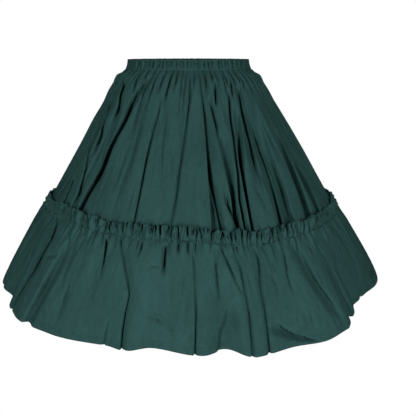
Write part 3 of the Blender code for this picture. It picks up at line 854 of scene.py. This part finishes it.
def cloth_places(points):
    """Metres along the sheet and above its lower edge, at every point of its grid."""
    steps = np.linalg.norm(np.diff(points, axis=1), axis=-1).mean(axis=0)
    drops = np.linalg.norm(np.diff(points, axis=0), axis=-1).mean(axis=1)
    along = np.concatenate([[0.0], np.cumsum(steps)])
    fall = np.concatenate([[0.0], np.cumsum(drops)])
    grid = np.broadcast_arrays(along[None, :], fall[-1] - fall[:, None])
    return np.stack(grid, axis=-1).reshape(-1, 2)


def sheet_mesh(name, points, thickness, material):
    """A sheet of cloth from a grid of points, given its thickness."""
    faces = grid_faces(*points.shape[:2])
    mesh = bpy.data.meshes.new(name)
    mesh.from_pydata(points.reshape(-1, 3).tolist(), [], faces.tolist())
    layer = mesh.uv_layers.new(name="cloth")
    layer.data.foreach_set("uv", cloth_places(points)[faces.reshape(-1)].reshape(-1))
    mesh.shade_smooth()
    piece = bpy.data.objects.new(name, mesh)
    bpy.context.scene.collection.objects.link(piece)
    mesh.materials.append(material)
    wall = piece.modifiers.new("thickness", "SOLIDIFY")
    wall.thickness = thickness
    wall.offset = -1.0
    return piece


# ---- materials --------------------------------------------------------------------------

def add_node(tree, kind, inputs, **settings):
    """A shader node with its settings, its inputs given as values or linked sockets."""
    made = tree.nodes.new(kind)
    for name, value in settings.items():
        setattr(made, name, value)
    for socket, value in inputs.items():
        if isinstance(value, bpy.types.NodeSocket):
            tree.links.new(value, made.inputs[socket])
        else:
            made.inputs[socket].default_value = value
    return made


def compute(tree, operation, *values):
    """One sum on numbers or sockets."""
    inputs = dict(enumerate(values))
    return add_node(tree, "ShaderNodeMath", inputs, operation=operation).outputs[0]


def total(tree, values):
    """The sum of several sockets."""
    result = values[0]
    for value in values[1:]:
        result = compute(tree, "ADD", result, value)
    return result


def uneven(tree, place, noise, amount):
    """Noise of a given fineness and detail over the cloth, about zero."""
    per_metre, detail = noise
    stretched = add_node(tree, "ShaderNodeVectorMath", {0: place, 1: (*per_metre, 1.0)},
                         operation="MULTIPLY")
    made = add_node(tree, "ShaderNodeTexNoise",
                    {"Vector": stretched.outputs[0], "Scale": 1.0, "Detail": detail})
    return compute(tree, "MULTIPLY", compute(tree, "SUBTRACT", made.outputs[0], 0.5), amount)


def stitches(tree, along, above, lines):
    """1 on the threads of the stitch lines, at the given heights above the lower edge."""
    found = []
    for line in lines:
        distance = compute(tree, "ABSOLUTE", compute(tree, "SUBTRACT", above, line))
        found.append(compute(tree, "LESS_THAN", distance, 0.5 * THREAD_WIDTH))
    step = compute(tree, "FRACT", compute(tree, "DIVIDE", along, STITCH_PITCH))
    dash = compute(tree, "LESS_THAN", step, STITCH_SHARE)
    return compute(tree, "MULTIPLY", total(tree, found), dash)


def weave(tree, along, above):
    """Height of the crossing threads of a plain weave."""
    turns = [compute(tree, "SINE", compute(tree, "MULTIPLY", way, 2.0 * math.pi / WEAVE_PITCH))
             for way in (along, above)]
    return compute(tree, "MULTIPLY", compute(tree, "MULTIPLY", *turns), WEAVE_RELIEF)


def cloth_material(cloth):
    """Plain woven cloth: weave, slubs, crushed surface, uneven dye and stitch lines."""
    material = bpy.data.materials.new(cloth.name)
    material.use_nodes = True
    tree = material.node_tree
    place = add_node(tree, "ShaderNodeUVMap", {}, uv_map="cloth").outputs[0]
    parts = add_node(tree, "ShaderNodeSeparateXYZ", {0: place})
    along, above = parts.outputs[0], parts.outputs[1]
    thread = stitches(tree, along, above, cloth.lines)
    shade = total(tree, [
        uneven(tree, place, BROAD_DYE, cloth.dye),
        uneven(tree, place, FINE_DYE, FINE_DYE_SHARE * cloth.dye),
        uneven(tree, place, UPRIGHT_SLUBS, cloth.slub),
        uneven(tree, place, LEVEL_SLUBS, cloth.slub),
        compute(tree, "MULTIPLY", thread, THREAD_LIGHTER),
    ])
    shade = compute(tree, "ADD", shade, 1.0)
    tint = add_node(tree, "ShaderNodeVectorMath", {0: cloth.colour, "Scale": shade},
                    operation="SCALE")
    relief = total(tree, [
        weave(tree, along, above),
        uneven(tree, place, FINE_CRUSH, cloth.crush),
        uneven(tree, place, BROAD_CRUSH, BROAD_CRUSH_TIMES * cloth.crush),
        compute(tree, "MULTIPLY", thread, 0.5 * THREAD_WIDTH),
    ])
    bump = add_node(tree, "ShaderNodeBump", {"Height": relief, "Distance": 1.0})
    rough = uneven(tree, place, ROUGH_PATCHES, ROUGHNESS_SPREAD)
    rough = compute(tree, "ADD", rough, CLOTH_ROUGHNESS)
    shader = tree.nodes["Principled BSDF"]
    tree.links.new(tint.outputs[0], shader.inputs["Base Color"])
    tree.links.new(bump.outputs[0], shader.inputs["Normal"])
    tree.links.new(rough, shader.inputs["Roughness"])
    shader.inputs["Specular IOR Level"].default_value = 0.0
    shader.inputs["Sheen Weight"].default_value = 0.0
    return material


def seen_and_lit(tree, seen, lit, output):
    """Show the camera one shader and all other light another."""
    path = add_node(tree, "ShaderNodeLightPath", {})
    mix = add_node(tree, "ShaderNodeMixShader", {
        "Fac": path.outputs["Is Camera Ray"],
        1: lit.outputs[0],
        2: seen.outputs[0],
    })
    add_node(tree, output, {"Surface": mix.outputs[0]})


# ---- the scene --------------------------------------------------------------------------

def add_camera():
    """The photograph's view: a little above the waist, looking slightly down."""
    data = bpy.data.cameras.new("camera")
    data.lens = CAMERA_LENS
    data.sensor_width = CAMERA_SENSOR
    camera = bpy.data.objects.new("camera", data)
    camera.location = CAMERA_PLACE
    camera.rotation_euler = (math.radians(90.0 - CAMERA_DOWN), 0.0, math.radians(CAMERA_TURN))
    bpy.context.scene.collection.objects.link(camera)
    bpy.context.scene.camera = camera


def add_softbox(name, azimuth, elevation, distance, size, power):
    """An upright soft light that faces the skirt."""
    turn = math.radians(azimuth)
    rise = math.radians(elevation)
    data = bpy.data.lights.new(name, "AREA")
    data.shape = "RECTANGLE"
    data.size, data.size_y = size
    data.energy = power
    lamp = bpy.data.objects.new(name, data)
    away = Vector((math.sin(turn) * math.cos(rise), -math.cos(turn) * math.cos(rise),
                   math.sin(rise)))
    lamp.location = LIT_POINT + away * distance
    lamp.rotation_euler = away.to_track_quat("Z", "Y").to_euler()
    bpy.context.scene.collection.objects.link(lamp)


def add_world():
    """White behind the skirt, and a dim even light on it."""
    world = bpy.data.worlds.new("studio")
    world.use_nodes = True
    bpy.context.scene.world = world
    tree = world.node_tree
    tree.nodes.clear()
    seen = add_node(tree, "ShaderNodeBackground", {"Strength": 1.0, "Color": WHITE})
    lit = add_node(tree, "ShaderNodeBackground", {"Strength": AMBIENT, "Color": WHITE})
    seen_and_lit(tree, seen, lit, "ShaderNodeOutputWorld")


def add_floor():
    """Plain floor, well below the hem: white to the camera and dark to the lights."""
    material = bpy.data.materials.new("floor_white")
    material.use_nodes = True
    tree = material.node_tree
    tree.nodes.clear()
    seen = add_node(tree, "ShaderNodeEmission", {"Strength": 1.0})
    lit = add_node(tree, "ShaderNodeBsdfDiffuse", {"Color": FLOOR_GREY})
    seen_and_lit(tree, seen, lit, "ShaderNodeOutputMaterial")
    corners = [(x * FLOOR_REACH, y * FLOOR_REACH, FLOOR_HEIGHT)
               for x, y in ((-1, -1), (1, -1), (1, 1), (-1, 1))]
    mesh = bpy.data.meshes.new("floor")
    mesh.from_pydata(corners, [], [(0, 1, 2, 3)])
    mesh.materials.append(material)
    floor = bpy.data.objects.new("floor", mesh)
    bpy.context.scene.collection.objects.link(floor)


def place_cloth(node, points, slot, cloths, thickness=CLOTH_THICKNESS):
    """Build one sheet in the place of its CAD node."""
    piece = sheet_mesh(node + "_cloth", points, thickness, cloths[slot])
    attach(piece, ROOT)
    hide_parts(node)
    return piece


def dress():
    """Put a sheet of cloth in the place of every solid."""
    cloths = {slot: cloth_material(cloth) for slot, cloth in CLOTHS.items()}
    band = place_cloth("waistband", band_sheet(), "waistband_cloth", cloths, BAND_THICKNESS)
    for back, side in ((False, "front"), (True, "back")):
        upper = place_cloth("upper_" + side, upper_sheet(back), "upper_cloth", cloths)
        frill = place_cloth("frill_" + side, frill_sheet(back), "frill_cloth", cloths)
        flounce = place_cloth("flounce_" + side, flounce_sheet(back), "flounce_cloth", cloths)


def main():
    """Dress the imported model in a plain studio."""
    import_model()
    bpy.context.scene.view_settings.view_transform = "Standard"
    add_camera()
    add_world()
    add_floor()
    for softbox in SOFTBOXES:
        add_softbox(*softbox)
    dress()


main()
